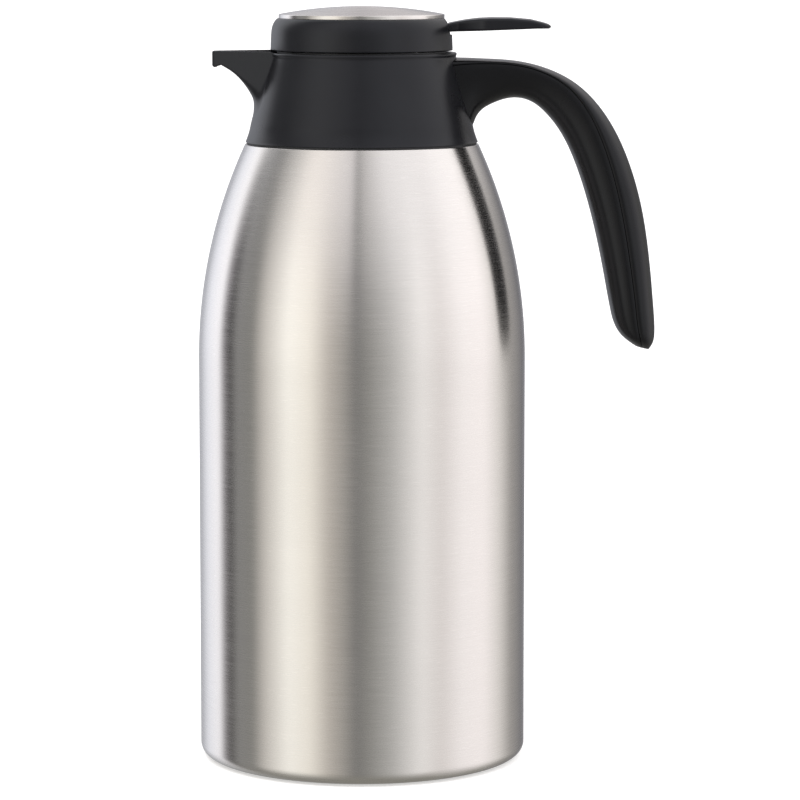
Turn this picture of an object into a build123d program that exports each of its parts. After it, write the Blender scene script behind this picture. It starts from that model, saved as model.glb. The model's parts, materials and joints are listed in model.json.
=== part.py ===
from build123d import *
import os
from math import asin, cos, degrees, radians, sin

# Double-walled vacuum carafe with a screw-in stopper lid and a thumb lever that opens a pouring valve.
# Millimetres. +Z is up along the flask's axis, the origin is the centre of the standing plane,
# the spout points to -X and the handle is on +X.

# ---- steel flask
BODY_R = 66.0
BASE_ROUND = 5.0
SHELL_BOTTOM = 0.6
SHELL_WALL = 0.7
SHOULDER_START = 163.0
SHOULDER_ARC = 205.0
LEDGE_TOP = 249.3
SHELL_NECK_R = 26.5
BEAD_R = 28.0
BEAD_BOTTOM = 255.8
BEAD_TOP = 258.8
BASE_OPENING_R = 54.0
CAVITY_R = 58.6
CAVITY_FLOOR = 14.0
CAVITY_FLOOR_ROUND = 14.0
CAVITY_ARC = SHOULDER_ARC - (BODY_R - CAVITY_R)
CAVITY_ARC_END = 236.0
VESSEL_WALL = 0.6
INNER_SHOULDER_TOP = 215.0
MOUTH_R = 24.0
MOUTH_TOP = 259.4
MOUTH_ROUND = 5.0
CAVITY_NECK_START = 246.5
VESSEL_NECK_START = 249.0
FOIL_THICKNESS = 0.2
FOIL_BOTTOM = 30.0
FOIL_TOP = 160.0

# ---- base
CUP_TOP = 7.0
CUP_R = 50.0
CUP_FLANGE_R = 60.3
EVACUATION_HOLE_R = 1.5
SEAL_CAP_R = 5.0
SEAL_CAP_HEIGHT = 1.2
GETTER_R = 6.0
GETTER_HEIGHT = 2.4
GETTER_X = 22.0
COVER_PLATE_TOP = 4.2
COVER_RIM_RIB_R = 46.0
COVER_MIDDLE_RIB_R = (20.0, 23.0)
COVER_R = 49.0
COVER_BOTTOM = 1.6
FOOT_INNER_R = 42.9
FOOT_OUTER_R = 47.1
FOOT_TOP = 2.8

# ---- collar, spout and the clamp that holds them on the neck
COLLAR_BOTTOM = 250.0
COLLAR_BOTTOM_R = 46.8
COLLAR_WAIST = (44.6, 257.5)
COLLAR_TOP_R = 37.9
COLLAR_CONE_TOP = 284.2
COLLAR_LIP_R = 38.6
COLLAR_RIM = 286.0
COLLAR_THROAT_R = 35.85
COLLAR_WALL = 2.05
WEB_TOP = 274.9
WEB_THICKNESS = 2.0
SPOUT_TOP = 286.6
SPOUT_TIP_X = -59.9
SPOUT_TIP_HALF = 3.9
SPOUT_ROOT_X = -34.7
SPOUT_ROOT_HALF = 15.2
SPOUT_WALL = 2.0
SPOUT_ROOT_DEPTH = 6.0
SPOUT_KEEL = ((-56.9, 281.4), (-52.6, 278.7), (-48.8, 275.0), (-46.0, 270.7), (-44.7, 265.1), (-44.5, 258.5))
SPOUT_DRIP_LIP = ((SPOUT_TIP_X, 280.6), (-59.2, 280.2), (-57.9, 280.4))
SPOUT_BACK = ((-30.0, 256.0), (-30.0, SPOUT_TOP))
TROUGH_FLOOR = ((-30.0, 275.2), (-36.0, 275.4), (-44.0, 277.0), (-51.0, 279.9), (-57.9, 284.6))
COLLAR_FLARE_MIDDLE = (45.4, 254.0)
COLLAR_LIP_RISE = 0.6
COLLAR_BORE_R = 42.6
COLLAR_WEB_R = 34.9
GASKET_TOP = 260.2
NECK_RING_FLOOR = 262.4
NECK_RING_BORE_R = 32.4
NECK_RING_R = 34.6
NECK_RING_FLANGE_R = 37.4
NECK_RING_TOP = 276.5
CLAMP_BOTTOM = 251.0
CLAMP_SCREW_CIRCLE_R = 30.2
CLAMP_SCREW_ANGLES = (45, 135, 225, 315)
CLAMP_SCREW_R = 1.3
CLAMP_SCREW_TIP = 251.6
CLAMP_HEAD_R = 2.0
CLAMP_HEAD_HEIGHT = 1.6
CLAMP_BORE_R = 26.6
CLAMP_HALF_GAP = 0.6
NECK_RING_HOLE_R = 26.8
NECK_RING_NOTCH = {"x": (-40, -25), "half": 14, "bottom": 270.0}
SHOULDER_SEAL_INNER_R = 42.8
SHOULDER_SEAL_OUTER_R = 46.2

# ---- quick thread between the neck ring and the stopper
THREAD_LEAD = 48.0
THREAD_STARTS = 3
THREAD_FIRST_ANGLE = 95.0
RIDGE_SPAN = 50.0
RIDGE_BOTTOM = 266.6
RIDGE_HEIGHT = 2.4
RIDGE_TIP_R = 29.4
LUG_LAG = 2.0
LUG_SPAN = 14.0
LUG_HEIGHT = 2.0
LUG_TIP_R = 31.9
THREAD_CLEARANCE = 0.4

# ---- lid and stopper
PLUG_R = 22.6
PLUG_BOTTOM = 250.0
STEP_Z = 262.0
STOPPER_R = 26.0
STOPPER_WALL = 2.0
STOPPER_TOP = 286.5
STOPPER_FLANGE_R = 34.0
POUR_WINDOW = {"x": (-30, -18), "half": 9, "z": (271, 282)}
STOPPER_SEAL_R = (22.9, 26.2)
LID_SCREW_LENGTH = 9.0
LID_HEAD_R = 2.4
LID_HEAD_HEIGHT = 1.6
LID_BOTTOM = 286.8
LID_R = 36.6
LID_SHOULDER_R = 35.7
LID_SHOULDER_ROUND = 3.2
LID_TOP = 299.9
LID_WALL = 2.2
DISC_R = 33.3
DISC_RIM = 301.3
DISC_APEX = 304.5
DISC_WALL = 0.6
POST_CIRCLE_R = 30.0
POST_R = 3.2
POST_ANGLES = (45, 135, 225, 315)
LID_SCREW_R = 1.4

# ---- lever and valve
PIVOT_X = 29.0
PIVOT_Z = 294.5
PIVOT_PIN_R = 1.25
HUB_R = 2.6
HUB_HALF = 7.5
EAR_GAP = 0.4
EAR_THICKNESS = 2.5
SLOT_FLOOR = 293.0
LEVER_HALF = 13.0
LEVER_TIP_X = 75.7
THUMB_NECK_X = 38.4
THUMB_WIDE_X = 43.0
THUMB_TOP = ((36.0, 299.2), (44.0, 300.0), (60.0, 300.0), (68.0, 299.3), (74.6, 297.8))
THUMB_TIP = ((LEVER_TIP_X, 297.0), (LEVER_TIP_X, 296.2), (75.0, 295.6))
THUMB_UNDERSIDE = ((70.0, 295.7), (37.0, 294.4), (32.4, 294.3), (32.4, 299.0))
ARM_HALF = 6.0
ARM_TOP = ((34.0, 296.9), (25.0, 296.9), (8.0, 293.2), (-3.6, 293.2))
ARM_UNDERSIDE = ((-3.6, 289.4), (8.0, 289.4), (26.0, 291.9), (34.0, 294.3))
FORK_END_X = 4.6
FORK_SLOT_X = (-1.5, 1.9)
SEAT_R = 9.0
SEAT_TOP = 252.0
STEM_R = 2.5
STEM_TOP = 293.0
GUIDE_BORE_R = 2.6
GUIDE_R = 5.0
GUIDE_BOTTOM = 281.0
GUIDE_CUP_R = 7.0
GUIDE_CUP_HEIGHT = 1.9
STEM_SEAL_R = 4.4
STEM_SEAL_HEIGHT = 1.4
STEM_SEAL_SEAT = 0.5
VALVE_R = 13.0
VALVE_TOP = 256.0
VALVE_SEAL_R = (7.6, 12.6)
VALVE_SEAL_HEIGHT = 1.2
CROSS_PIN_Z = 291.2
CROSS_PIN_R = 1.0
SPRING_R = 4.4
SPRING_WIRE_R = 0.5
SPRING_PITCH = 3.8

# ---- handle: (outer x, outer z), (inner x, inner z), width, depth share of the back cover
HANDLE_STATIONS = (
    ((34.0, 284.0), (38.0, 252.0), 25.0, 0.09),
    ((43.0, 283.7), (46.6, 259.6), 24.8, 0.09),
    ((52.0, 283.3), (52.6, 265.3), 24.4, 0.09),
    ((61.0, 282.7), (60.0, 267.8), 24.4, 0.10),
    ((73.2, 280.0), (67.5, 266.6), 24.6, 0.13),
    ((83.0, 275.6), (73.5, 262.4), 25.0, 0.18),
    ((92.0, 268.3), (79.3, 255.3), 25.4, 0.25),
    ((100.0, 257.8), (85.2, 244.0), 25.6, 0.33),
    ((107.6, 241.6), (90.6, 228.5), 25.6, 0.39),
    ((112.5, 225.2), (94.2, 214.0), 25.4, 0.43),
    ((116.2, 202.7), (97.4, 198.5), 25.0, 0.44),
    ((118.3, 180.0), (100.6, 181.5), 24.0, 0.44),
    ((118.7, 172.3), (102.8, 174.6), 22.0, 0.45),
    ((117.8, 168.0), (106.6, 170.2), 17.0, 0.46),
    ((116.3, 166.0), (110.4, 167.5), 8.0, 0.48),
)
HANDLE_SEAM = 0.2
HANDLE_SCREW_Z = 269.8
HANDLE_SCREW_HALF_SPACING = 4.8
HANDLE_SCREW_X = 38.4
HANDLE_SCREW_R = 1.5
HANDLE_SCREW_LENGTH = 14.0
HANDLE_SCREW_HEAD_R = 2.5
HANDLE_SCREW_HEAD_HEIGHT = 1.8
HOOK = {"x": (37.4, 46.0), "half": 5.0, "z": (279.2, 281.2)}


# ---- helpers
def ring(*corners):
    """Turned ring; each corner is (radius, height) or (radius, height, rounding)."""
    points = [corner[:2] for corner in corners]
    roundings = [corner[2] if len(corner) == 3 else 0 for corner in corners]
    outline = FilletPolyline(*points, radius=roundings, close=True)
    return turned(outline)


def turned(*edges):
    """Solid of revolution from a closed outline drawn as (radius, height)."""
    return revolve(Plane.XZ * make_face(list(edges)), axis=Axis.Z)


def box(x, y, z):
    """Box from its (low, high) limits along each axis."""
    size = (x[1] - x[0], y[1] - y[0], z[1] - z[0])
    centre = ((x[0] + x[1]) / 2, (y[0] + y[1]) / 2, (z[0] + z[1]) / 2)
    return Pos(*centre) * Box(*size)


def rod(radius, z, x=0.0, y=0.0):
    """Upright cylinder between two heights."""
    height = z[1] - z[0]
    return Pos(x, y, z[0]) * Cylinder(radius, height, align=(Align.CENTER, Align.CENTER, Align.MIN))


def cross_rod(radius, half_length, x, z):
    """Cylinder lying along Y, centred on the XZ plane."""
    return Pos(x, 0, z) * Rot(90, 0, 0) * Cylinder(radius, 2 * half_length)


def side_prism(outline, half_width):
    """Closed outline in (x, z), thickened equally to both sides of the XZ plane."""
    return extrude(Plane.XZ * make_face(outline), amount=half_width, both=True)


def plan_prism(outline, z):
    """Closed outline in (x, y), raised between two heights."""
    return Pos(0, 0, z[0]) * extrude(make_face(outline), amount=z[1] - z[0])


def around(radius, angle):
    """Point at an angle on a circle about the axis."""
    return radius * cos(radians(angle)), radius * sin(radians(angle))


def helical_bar(inner_r, outer_r, bottom, height, start, span):
    """Bar of rectangular section that climbs round the axis with the thread's lead."""
    path = Helix(THREAD_LEAD, THREAD_LEAD * span / 360, (inner_r + outer_r) / 2)
    section = Plane.XZ * Pos((inner_r + outer_r) / 2, 0) * Rectangle(outer_r - inner_r, height)
    bar = sweep(section, path, is_frenet=True)
    return Pos(0, 0, bottom + height / 2) * Rot(0, 0, start) * bar


def thread_angles():
    """Angle at which each thread start begins."""
    return [THREAD_FIRST_ANGLE + 360 * start / THREAD_STARTS for start in range(THREAD_STARTS)]


# ---- steel flask
def body_outline(inset):
    """Outline of the body under the ledge, moved inward by a wall thickness."""
    bottom = SHELL_BOTTOM + inset
    corner = BASE_ROUND - inset
    arc_r = SHOULDER_ARC - inset
    top = LEDGE_TOP - inset
    sweep_angle = degrees(asin((top - SHOULDER_START) / arc_r))
    shoulder = CenterArc((BODY_R - SHOULDER_ARC, SHOULDER_START), arc_r, 0, sweep_angle)
    return (
        Line((0, bottom), (BODY_R - BASE_ROUND, bottom)),
        CenterArc((BODY_R - BASE_ROUND, SHELL_BOTTOM + BASE_ROUND), corner, 270, 90),
        Line((BODY_R - inset, SHELL_BOTTOM + BASE_ROUND), (BODY_R - inset, SHOULDER_START)),
        shoulder,
        Line(shoulder @ 1, (0, top)),
        Line((0, top), (0, bottom)),
    )


def shell_skin(low, high):
    """The body's wall between two heights."""
    hollow = turned(*body_outline(0)) - turned(*body_outline(SHELL_WALL))
    return hollow & rod(BODY_R + 1, (low, high))


def outer_shell():
    """Straight part of the body with its turned-in base edge."""
    return shell_skin(0, SHOULDER_START) - rod(BASE_OPENING_R, (0, CUP_TOP))


def shell_shoulder():
    """Tapering part of the body."""
    return shell_skin(SHOULDER_START, LEDGE_TOP - SHELL_WALL)


def shell_ledge():
    """Flat top of the body around the neck, under the collar."""
    bottom = LEDGE_TOP - SHELL_WALL
    return shell_skin(bottom, LEDGE_TOP + 1) - rod(SHELL_NECK_R, (bottom - 1, LEDGE_TOP + 1))


def outer_neck():
    """Neck tube welded into the ledge, with the bead that the clamp grips."""
    bore_r = SHELL_NECK_R - SHELL_WALL
    return ring(
        (bore_r, LEDGE_TOP - SHELL_WALL),
        (SHELL_NECK_R, LEDGE_TOP - SHELL_WALL),
        (SHELL_NECK_R, BEAD_BOTTOM),
        (BEAD_R, BEAD_BOTTOM),
        (BEAD_R, BEAD_TOP),
        (bore_r, BEAD_TOP),
    )


def cavity_face():
    """Half section of the space that holds the coffee, up to the mouth."""
    arc_end_angle = degrees(asin((CAVITY_ARC_END - SHOULDER_START) / CAVITY_ARC))
    shoulder = CenterArc((CAVITY_R - CAVITY_ARC, SHOULDER_START), CAVITY_ARC, 0, arc_end_angle)
    round_centre = (CAVITY_R - CAVITY_FLOOR_ROUND, CAVITY_FLOOR + CAVITY_FLOOR_ROUND)
    face = make_face([
        Line((0, CAVITY_FLOOR), (round_centre[0], CAVITY_FLOOR)),
        CenterArc(round_centre, CAVITY_FLOOR_ROUND, 270, 90),
        Line((CAVITY_R, round_centre[1]), (CAVITY_R, SHOULDER_START)),
        shoulder,
        Line(shoulder @ 1, (MOUTH_R, CAVITY_NECK_START)),
        Line((MOUTH_R, CAVITY_NECK_START), (MOUTH_R, MOUTH_TOP)),
        Line((MOUTH_R, MOUTH_TOP), (0, MOUTH_TOP)),
        Line((0, MOUTH_TOP), (0, CAVITY_FLOOR)),
    ])
    for corner in (shoulder @ 1, Vector(MOUTH_R, CAVITY_NECK_START)):
        face = fillet(face.vertices().sort_by_distance(corner)[0], MOUTH_ROUND)
    return face


def vessel_skin(low, high):
    """The inner vessel's wall between two heights."""
    cavity = cavity_face()
    wall = offset(cavity, VESSEL_WALL, kind=Kind.INTERSECTION) - cavity
    band = Pos(CAVITY_R, (low + high) / 2) * Rectangle(2 * CAVITY_R, high - low)
    return revolve(Plane.XZ * (wall & band), axis=Axis.Z)


def inner_bottom():
    """Flat middle of the inner vessel's bottom."""
    return rod(CAVITY_R - CAVITY_FLOOR_ROUND, (CAVITY_FLOOR - VESSEL_WALL, CAVITY_FLOOR))


def inner_corner():
    """Rounded edge that joins the inner vessel's bottom to its wall."""
    skin = vessel_skin(0, CAVITY_FLOOR + CAVITY_FLOOR_ROUND)
    return skin - rod(CAVITY_R - CAVITY_FLOOR_ROUND, (0, CAVITY_FLOOR + 1))


def inner_vessel():
    """Straight part of the inner vessel."""
    return vessel_skin(CAVITY_FLOOR + CAVITY_FLOOR_ROUND, SHOULDER_START)


def inner_shoulder():
    return vessel_skin(SHOULDER_START, INNER_SHOULDER_TOP)


def inner_throat():
    return vessel_skin(INNER_SHOULDER_TOP, CAVITY_ARC_END)


def inner_funnel():
    """Steep part of the inner vessel, which leads to its neck."""
    return vessel_skin(CAVITY_ARC_END, VESSEL_NECK_START)


def inner_neck():
    """Mouth tube of the inner vessel, with the rim welded over the outer neck."""
    rim = ring(
        (MOUTH_R + VESSEL_WALL / 2, BEAD_TOP),
        (BEAD_R, BEAD_TOP),
        (BEAD_R, MOUTH_TOP),
        (MOUTH_R + VESSEL_WALL / 2, MOUTH_TOP),
    )
    return vessel_skin(VESSEL_NECK_START, MOUTH_TOP) + rim


def radiation_foil():
    """Foil wrapped round the inner vessel, which holds back radiated heat."""
    inner_r = CAVITY_R + VESSEL_WALL
    outer_r = inner_r + FOIL_THICKNESS
    return ring((inner_r, FOIL_BOTTOM), (outer_r, FOIL_BOTTOM), (outer_r, FOIL_TOP), (inner_r, FOIL_TOP))


# ---- base
def base_cup():
    """Pressed disc that closes the shell from below, with its flange on the shell's turned-in edge."""
    flange = SHELL_BOTTOM + SHELL_WALL
    cup = ring(
        (0, CUP_TOP - SHELL_WALL),
        (CUP_R - SHELL_WALL, CUP_TOP - SHELL_WALL),
        (CUP_R - SHELL_WALL, flange),
        (CUP_FLANGE_R, flange),
        (CUP_FLANGE_R, flange + SHELL_WALL),
        (CUP_R, flange + SHELL_WALL),
        (CUP_R, CUP_TOP),
        (0, CUP_TOP),
    )
    return cup - rod(EVACUATION_HOLE_R, (0, CUP_TOP + 1))


def getter():
    """Pellet that keeps the vacuum, fixed to the base cup inside the wall space."""
    return rod(GETTER_R, (CUP_TOP, CUP_TOP + GETTER_HEIGHT), x=GETTER_X)


def vacuum_seal():
    """Cap brazed over the evacuation hole."""
    cup_underside = CUP_TOP - SHELL_WALL
    return rod(SEAL_CAP_R, (cup_underside - SEAL_CAP_HEIGHT, cup_underside))


def base_cover():
    """Round cover under the flask, with a groove for the foot ring and two ribs that meet the base cup."""
    underside = CUP_TOP - SHELL_WALL
    rib_inner_r, rib_outer_r = COVER_MIDDLE_RIB_R
    return ring(
        (0, COVER_BOTTOM),
        (FOOT_INNER_R, COVER_BOTTOM),
        (FOOT_INNER_R, FOOT_TOP),
        (FOOT_OUTER_R, FOOT_TOP),
        (FOOT_OUTER_R, COVER_BOTTOM),
        (COVER_R, COVER_BOTTOM, 0.4),
        (COVER_R, underside),
        (COVER_RIM_RIB_R, underside),
        (COVER_RIM_RIB_R, COVER_PLATE_TOP),
        (rib_outer_r, COVER_PLATE_TOP),
        (rib_outer_r, underside),
        (rib_inner_r, underside),
        (rib_inner_r, COVER_PLATE_TOP),
        (0, COVER_PLATE_TOP),
    )


def foot_ring():
    return ring(
        (FOOT_INNER_R, 0, 0.4),
        (FOOT_OUTER_R, 0, 0.4),
        (FOOT_OUTER_R, FOOT_TOP),
        (FOOT_INNER_R, FOOT_TOP),
    )


# ---- neck clamp
def clamp_screw(angle):
    x, y = around(CLAMP_SCREW_CIRCLE_R, angle)
    shaft = rod(CLAMP_SCREW_R, (CLAMP_SCREW_TIP, NECK_RING_FLOOR), x, y)
    head = rod(CLAMP_HEAD_R, (NECK_RING_FLOOR, NECK_RING_FLOOR + CLAMP_HEAD_HEIGHT), x, y)
    return shaft + head


def clamp_half(side):
    """Half ring that grips under the neck's bead, on the +Y or -Y side."""
    whole = ring(
        (CLAMP_BORE_R, CLAMP_BOTTOM),
        (NECK_RING_R, CLAMP_BOTTOM),
        (NECK_RING_R, BEAD_BOTTOM),
        (CLAMP_BORE_R, BEAD_BOTTOM),
    )
    reach = sorted((side * CLAMP_HALF_GAP, side * BODY_R))
    half = whole & box((-BODY_R, BODY_R), reach, (CLAMP_BOTTOM - 1, BEAD_BOTTOM + 1))
    for angle in CLAMP_SCREW_ANGLES:
        half -= clamp_screw(angle)
    return half


def neck_gasket():
    low, high = MOUTH_TOP, GASKET_TOP
    return ring((CLAMP_BORE_R, low), (BEAD_R, low), (BEAD_R, high), (CLAMP_BORE_R, high))


def neck_ring():
    """Threaded insert: its flange holds the collar's web down and its floor takes the clamp screws."""
    body = ring(
        (NECK_RING_HOLE_R, GASKET_TOP),
        (NECK_RING_R, GASKET_TOP),
        (NECK_RING_R, WEB_TOP),
        (NECK_RING_FLANGE_R, WEB_TOP),
        (NECK_RING_FLANGE_R, NECK_RING_TOP),
        (NECK_RING_BORE_R, NECK_RING_TOP),
        (NECK_RING_BORE_R, NECK_RING_FLOOR),
        (NECK_RING_HOLE_R, NECK_RING_FLOOR),
    )
    for angle in thread_angles():
        ridge = helical_bar(
            RIDGE_TIP_R, NECK_RING_BORE_R + 0.5, RIDGE_BOTTOM, RIDGE_HEIGHT, angle, RIDGE_SPAN
        )
        body += ridge
    notch = NECK_RING_NOTCH
    body -= box(notch["x"], (-notch["half"], notch["half"]), (notch["bottom"], NECK_RING_TOP + 1))
    for angle in CLAMP_SCREW_ANGLES:
        body -= clamp_screw(angle)
    return body


def shoulder_seal():
    low, high = LEDGE_TOP, COLLAR_BOTTOM
    inner, outer = SHOULDER_SEAL_INNER_R, SHOULDER_SEAL_OUTER_R
    return ring((inner, low), (outer, low), (outer, high), (inner, high))


# ---- collar and spout
def cone_radius(z):
    """Radius of the collar's outer cone at a height between its waist and its top."""
    slope = (COLLAR_TOP_R - COLLAR_WAIST[0]) / (COLLAR_CONE_TOP - COLLAR_WAIST[1])
    return COLLAR_WAIST[0] + slope * (z - COLLAR_WAIST[1])


def collar_outside():
    """Filled outer form of the collar without its spout."""
    flare = Spline((COLLAR_BOTTOM_R, COLLAR_BOTTOM), COLLAR_FLARE_MIDDLE, COLLAR_WAIST)
    rest = Polyline(
        COLLAR_WAIST,
        (COLLAR_TOP_R, COLLAR_CONE_TOP),
        (COLLAR_LIP_R, COLLAR_CONE_TOP + COLLAR_LIP_RISE),
        (COLLAR_LIP_R, COLLAR_RIM),
        (0, COLLAR_RIM),
        (0, COLLAR_BOTTOM),
        (COLLAR_BOTTOM_R, COLLAR_BOTTOM),
    )
    return turned(flare, rest)


def collar_inside():
    """Space inside the collar, with the web that the neck ring holds down left out."""
    web_bottom = WEB_TOP - WEB_THICKNESS
    return ring(
        (0, COLLAR_BOTTOM),
        (COLLAR_BORE_R, COLLAR_BOTTOM),
        (COLLAR_WAIST[0] - COLLAR_WALL, COLLAR_WAIST[1]),
        (cone_radius(web_bottom) - COLLAR_WALL, web_bottom),
        (COLLAR_WEB_R, web_bottom),
        (COLLAR_WEB_R, WEB_TOP),
        (cone_radius(WEB_TOP) - COLLAR_WALL, WEB_TOP),
        (COLLAR_THROAT_R, COLLAR_CONE_TOP),
        (COLLAR_THROAT_R, SPOUT_TOP + 1),
        (0, SPOUT_TOP + 1),
    )


def spout_plan(inset):
    """V-shaped plan of the spout, narrowed by a wall thickness."""
    tip_x = SPOUT_TIP_X + inset
    tip_half = SPOUT_TIP_HALF - 0.7 * inset
    root_half = SPOUT_ROOT_HALF - 1.1 * inset
    return Polyline(
        (tip_x, tip_half),
        (SPOUT_ROOT_X, root_half),
        (SPOUT_ROOT_X + SPOUT_ROOT_DEPTH, root_half + 1.5),
        (SPOUT_ROOT_X + SPOUT_ROOT_DEPTH, -root_half - 1.5),
        (SPOUT_ROOT_X, -root_half),
        (tip_x, -tip_half),
        close=True,
    )


def spout_body():
    """Beak with a drip lip and a curved keel that runs down into the collar's waist."""
    keel = Spline(*SPOUT_KEEL)
    rest = Polyline(SPOUT_KEEL[-1], *SPOUT_BACK, (SPOUT_TIP_X, SPOUT_TOP), *SPOUT_DRIP_LIP, SPOUT_KEEL[0])
    side = side_prism([keel, rest], 20)
    return side & plan_prism(spout_plan(0), (250, 290))


def spout_trough():
    """Open channel from the pouring chamber to the spout's tip."""
    start, end = TROUGH_FLOOR[0], TROUGH_FLOOR[-1]
    above = SPOUT_TOP + 3
    floor = Spline(*TROUGH_FLOOR)
    rest = Polyline(end, (end[0], above), (start[0], above), start)
    return side_prism([floor, rest], 20) & plan_prism(spout_plan(SPOUT_WALL), (270, 290))


def handle_screw(side):
    """Screw from inside the collar into the handle's root, on the +Y or -Y side."""
    y = side * HANDLE_SCREW_HALF_SPACING
    place = Pos(HANDLE_SCREW_X, y, HANDLE_SCREW_Z) * Rot(0, 90, 0)
    bottom = (Align.CENTER, Align.CENTER, Align.MIN)
    head = Cylinder(HANDLE_SCREW_HEAD_R, HANDLE_SCREW_HEAD_HEIGHT, align=bottom)
    return place * (head + Cylinder(HANDLE_SCREW_R, HANDLE_SCREW_LENGTH, align=bottom))


def handle_hook():
    """Tongue at the top of the handle's root that passes into the collar's wall."""
    half = HOOK["half"]
    return box(HOOK["x"], (-half, half), HOOK["z"])


def collar():
    body = (collar_outside() + spout_body()) - collar_inside() - spout_trough()
    for side in (-1, 1):
        body -= handle_screw(side)
    return body - handle_hook()


# ---- handle
def handle_section(station, is_cover):
    """Half egg-shaped section on one side of the seam: the back cover's or the inner body's."""
    (outer_x, outer_z), (inner_x, inner_z), width, share = station
    back = Vector(outer_x, 0, outer_z)
    depth = Vector(inner_x, 0, inner_z) - back
    across = Vector(0, 1, 0)
    seam = share * depth.length + (0 if is_cover else HANDLE_SEAM)
    plane = Plane(origin=back + depth.normalized() * seam, x_dir=across, z_dir=across.cross(-depth))
    reach = seam if is_cover else depth.length - seam
    start = 0 if is_cover else 180
    half_width = width / 2
    edges = [
        EllipticalCenterArc((0, 0), half_width, reach, start, arc_size=180),
        Line((-half_width, 0), (half_width, 0)),
    ]
    return plane * make_face(edges)


def handle_piece(is_cover):
    sections = [handle_section(station, is_cover) for station in HANDLE_STATIONS]
    return loft(sections) - collar_outside()


def handle_body():
    hook = handle_hook() - box((46.0, 60.0), (-9, 9), (270, 290))
    body = handle_piece(is_cover=False) + hook
    for side in (-1, 1):
        body -= handle_screw(side)
    return body


def handle_cover():
    return handle_piece(is_cover=True)


# ---- stopper
def stopper_seal():
    """Ring that seals the stopper's step against the flask's mouth."""
    inner, outer = STOPPER_SEAL_R
    return ring((inner, MOUTH_TOP), (outer, MOUTH_TOP), (outer, STEP_Z), (inner, STEP_Z))


def lid_screw(angle):
    x, y = around(POST_CIRCLE_R, angle)
    flange_bottom = STOPPER_TOP - STOPPER_WALL
    shaft = rod(LID_SCREW_R, (flange_bottom, flange_bottom + LID_SCREW_LENGTH), x, y)
    head = rod(LID_HEAD_R, (flange_bottom - LID_HEAD_HEIGHT, flange_bottom), x, y)
    return shaft + head


def stopper_body():
    """Hollow stopper with a valve seat in its floor, a pouring window and three thread lugs."""
    flange_bottom = STOPPER_TOP - STOPPER_WALL
    body = ring(
        (SEAT_R, PLUG_BOTTOM),
        (PLUG_R, PLUG_BOTTOM, 0.6),
        (PLUG_R, STEP_Z),
        (STOPPER_R, STEP_Z),
        (STOPPER_R, flange_bottom),
        (STOPPER_FLANGE_R, flange_bottom),
        (STOPPER_FLANGE_R, STOPPER_TOP),
        (GUIDE_R, STOPPER_TOP),
        (GUIDE_R, flange_bottom),
        (STOPPER_R - STOPPER_WALL, flange_bottom),
        (STOPPER_R - STOPPER_WALL, STEP_Z + STOPPER_WALL),
        (PLUG_R - STOPPER_WALL, STEP_Z + STOPPER_WALL),
        (PLUG_R - STOPPER_WALL, SEAT_TOP),
        (SEAT_R, SEAT_TOP),
    )
    lug_bottom = RIDGE_BOTTOM - THREAD_CLEARANCE - LUG_HEIGHT + THREAD_LEAD * LUG_LAG / 360
    for angle in thread_angles():
        body += helical_bar(STOPPER_R - 0.5, LUG_TIP_R, lug_bottom, LUG_HEIGHT, angle + LUG_LAG, LUG_SPAN)
    for angle in POST_ANGLES:
        body -= lid_screw(angle)
    return body - box(POUR_WINDOW["x"], (-POUR_WINDOW["half"], POUR_WINDOW["half"]), POUR_WINDOW["z"])


def valve_guide():
    """Bush in the stopper's top that guides the stem and holds its seal."""
    return ring(
        (GUIDE_BORE_R, GUIDE_BOTTOM),
        (GUIDE_R, GUIDE_BOTTOM),
        (GUIDE_R, STOPPER_TOP),
        (GUIDE_CUP_R, STOPPER_TOP),
        (GUIDE_CUP_R, STOPPER_TOP + GUIDE_CUP_HEIGHT),
        (STEM_SEAL_R, STOPPER_TOP + GUIDE_CUP_HEIGHT),
        (STEM_SEAL_R, STOPPER_TOP + STEM_SEAL_SEAT),
        (GUIDE_BORE_R, STOPPER_TOP + STEM_SEAL_SEAT),
    )


def stem_seal():
    low = STOPPER_TOP + STEM_SEAL_SEAT
    high = low + STEM_SEAL_HEIGHT
    return ring((GUIDE_BORE_R, low), (STEM_SEAL_R, low), (STEM_SEAL_R, high), (GUIDE_BORE_R, high))


# ---- lid
def lid_cap():
    """Round cap with a skirt, four screw posts, two pivot ears and a slot for the lever."""
    plate_bottom = LID_TOP - LID_WALL
    cap = ring(
        (LID_R - LID_WALL, LID_BOTTOM),
        (LID_R, LID_BOTTOM, 0.4),
        (LID_SHOULDER_R, LID_TOP, LID_SHOULDER_ROUND),
        (0, LID_TOP),
        (0, plate_bottom),
        (LID_SHOULDER_R - LID_WALL - 0.3, plate_bottom, 1.0),
    )
    for angle in POST_ANGLES:
        x, y = around(POST_CIRCLE_R, angle)
        cap += rod(POST_R, (STOPPER_TOP, plate_bottom + 0.5), x, y)
        cap -= lid_screw(angle)
    for side in (-1, 1):
        near = HUB_HALF + EAR_GAP
        y = sorted((side * near, side * (near + EAR_THICKNESS)))
        cap += box((PIVOT_X - HUB_R, PIVOT_X + HUB_R), y, (PIVOT_Z - HUB_R, plate_bottom + 0.5))
    slot_half = HUB_HALF + 0.5
    cap -= box((31.0, 40.0), (-slot_half, slot_half), (SLOT_FLOOR, plate_bottom))
    shoulder_slot = box((31.0, 40.0), (-slot_half, slot_half), (SLOT_FLOOR, LID_TOP + 1))
    cap -= shoulder_slot - rod(DISC_R + 0.1, (SLOT_FLOOR - 1, LID_TOP + 2))
    return cap - cross_rod(PIVOT_PIN_R, 12, PIVOT_X, PIVOT_Z)


def dome_radius(rise, half_span):
    """Sphere radius of a cap with this rise over this half span."""
    return (half_span**2 + rise**2) / (2 * rise)


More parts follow.
